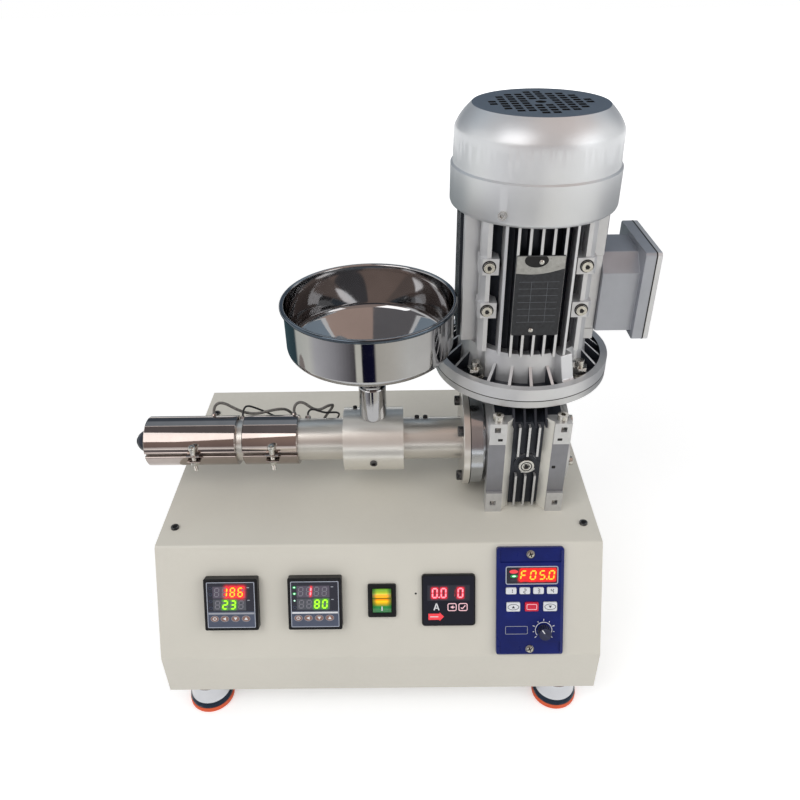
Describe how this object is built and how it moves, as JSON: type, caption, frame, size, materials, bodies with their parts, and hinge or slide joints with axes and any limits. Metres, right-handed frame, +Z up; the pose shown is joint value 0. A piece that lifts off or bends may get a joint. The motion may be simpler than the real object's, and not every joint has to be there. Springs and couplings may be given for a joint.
{
  "type": "filament extruder",
  "caption": "Benchtop filament extruder: hopper-fed screw in a heated barrel, driven through a worm gearbox by an upright flange motor on a steel control cabinet.",
  "frame": {"origin": "centre of the bounding box in X and Y, on the floor under the feet", "axes": "+Z up, -Y out of the control panel, +X from the nozzle towards the gearbox, along the screw"},
  "size_m": [0.47, 0.3086, 0.5159],
  "materials": {
    "cabinet_paint": "cream powder coat, satin",
    "dark_screw": "black oxide",
    "foot_chrome": "polished",
    "foot_pad": "orange rubber",
    "black_plastic": "fine grained moulding",
    "relay_case": "moulded case",
    "rocker_green": "translucent green",
    "panel_blue": "dark blue overlay",
    "window": "smoked window",
    "knob_plastic": "ribbed knob",
    "key_white": "moulded keycap",
    "key_red": "moulded keycap",
    "cast_alloy": "silver painted casting",
    "bearing_steel": "ground steel",
    "seal_rubber": "oil seal rubber",
    "bright_screw": "zinc plated",
    "worm_steel": "hardened steel",
    "wheel_bronze": "machined bronze",
    "motor_paint": "silver paint",
    "winding": "varnished copper and laminations",
    "rotor_steel": "turned steel",
    "cowl_paint": "silver paint",
    "barrel_steel": "ground steel",
    "nozzle_steel": "dark steel",
    "heater_band": "polished stainless band",
    "collar_steel": "bead blasted",
    "hopper_steel": "polished stainless",
    "heater_lead": "braided sleeve",
    "probe_lead": "braided sleeve"
  },
  "bodies": {
    "machine": {"cabinet_shell": "cabinet_paint", "side_panels": "cabinet_paint", "base_plate": "cabinet_paint", "rear_panel": "cabinet_paint", "cabinet_screws": "dark_screw", "foot_cups": "foot_chrome", "foot_pads": "foot_pad", "power_inlet": "black_plastic", "heater_relays": "relay_case", "temperature_controllers": "black_plastic", "controller_clamps": "black_plastic", "ammeter": "black_plastic", "switch_frame": "black_plastic", "drive_panel": "panel_blue", "display_windows": "window", "gear_housing": "cast_alloy", "gear_cover": "cast_alloy", "input_flange": "cast_alloy", "bearings": "bearing_steel", "oil_seals": "seal_rubber", "oil_plug": "bright_screw", "gearbox_bolts": "bright_screw", "motor_flange": "motor_paint", "motor_frame": "motor_paint", "stator": "winding", "rear_shield": "motor_paint", "fan_cowl": "cowl_paint", "motor_screws": "bright_screw", "flange_bolts": "bright_screw", "terminal_box": "motor_paint", "terminal_lid": "motor_paint", "barrel_adapter": "bearing_steel", "barrel": "barrel_steel", "nozzle": "nozzle_steel", "front_heater": "heater_band", "rear_heater": "heater_band", "barrel_bolts": "dark_screw", "feed_collar": "collar_steel", "feed_tube": "barrel_steel", "front_heater_lead": "heater_lead", "rear_heater_lead": "heater_lead", "front_probe_lead": "probe_lead", "rear_probe_lead": "probe_lead", "lead_grommet": "seal_rubber", "probes": "bearing_steel"},
    "motor_rotor": {"rotor": "rotor_steel", "worm": "worm_steel", "cooling_fan": "black_plastic"},
    "feed_screw": {"worm_wheel": "wheel_bronze", "extruder_screw": "worm_steel"},
    "hopper": {"hopper": "hopper_steel"},
    "power_rocker": {"switch_rocker": "rocker_green"},
    "speed_knob": {"speed_knob": "knob_plastic"},
    "key_1": {"key_1": "key_white"},
    "key_2": {"key_2": "key_white"},
    "key_3": {"key_3": "key_white"},
    "key_4": {"key_4": "key_white"},
    "key_up": {"key_up": "key_white"},
    "key_stop": {"key_stop": "key_red"},
    "key_down": {"key_down": "key_white"}
  },
  "joints": [
    {"name": "motor_spin", "type": "hinge", "parent": "machine", "child": "motor_rotor", "pos_m": [0.131, 0.0278, 0.32143], "axis": [0, 0, 1], "continuous": true},
    {"name": "screw_spin", "type": "hinge", "parent": "machine", "child": "feed_screw", "pos_m": [0.131, -0.0122, 0.22143], "axis": [1, 0, 0], "continuous": true},
    {"name": "hopper_lift", "type": "slide", "parent": "machine", "child": "hopper", "axis": [0, 0, 1], "range_m": [0, 0.06]},
    {"name": "rocker_tilt", "type": "hinge", "parent": "machine", "child": "power_rocker", "pos_m": [-0.0009, -0.12403, 0.12399], "axis": [1, 0, 0], "range_deg": [-16, 0]},
    {"name": "knob_turn", "type": "hinge", "parent": "machine", "child": "speed_knob", "pos_m": [0.1436, -0.14344, 0.10274], "axis": [0, -0.9003, 0.4352], "range_deg": [-150, 150]},
    {"name": "key_1_press", "type": "slide", "parent": "machine", "child": "key_1", "axis": [0, 0.9003, -0.4352], "range_m": [0, 0.0005], "stiffness_N_per_m": 400, "springref_m": -0.0005},
    {"name": "key_2_press", "type": "slide", "parent": "machine", "child": "key_2", "axis": [0, 0.9003, -0.4352], "range_m": [0, 0.0005], "stiffness_N_per_m": 400, "springref_m": -0.0005},
    {"name": "key_3_press", "type": "slide", "parent": "machine", "child": "key_3", "axis": [0, 0.9003, -0.4352], "range_m": [0, 0.0005], "stiffness_N_per_m": 400, "springref_m": -0.0005},
    {"name": "key_4_press", "type": "slide", "parent": "machine", "child": "key_4", "axis": [0, 0.9003, -0.4352], "range_m": [0, 0.0005], "stiffness_N_per_m": 400, "springref_m": -0.0005},
    {"name": "key_up_press", "type": "slide", "parent": "machine", "child": "key_up", "axis": [0, 0.9003, -0.4352], "range_m": [0, 0.0005], "stiffness_N_per_m": 400, "springref_m": -0.0005},
    {"name": "key_stop_press", "type": "slide", "parent": "machine", "child": "key_stop", "axis": [0, 0.9003, -0.4352], "range_m": [0, 0.0005], "stiffness_N_per_m": 400, "springref_m": -0.0005},
    {"name": "key_down_press", "type": "slide", "parent": "machine", "child": "key_down", "axis": [0, 0.9003, -0.4352], "range_m": [0, 0.0005], "stiffness_N_per_m": 400, "springref_m": -0.0005}
  ],
  "couplings": [
    {"joint": "screw_spin", "follows": "motor_spin", "ratio": -0.033333}
  ]
}
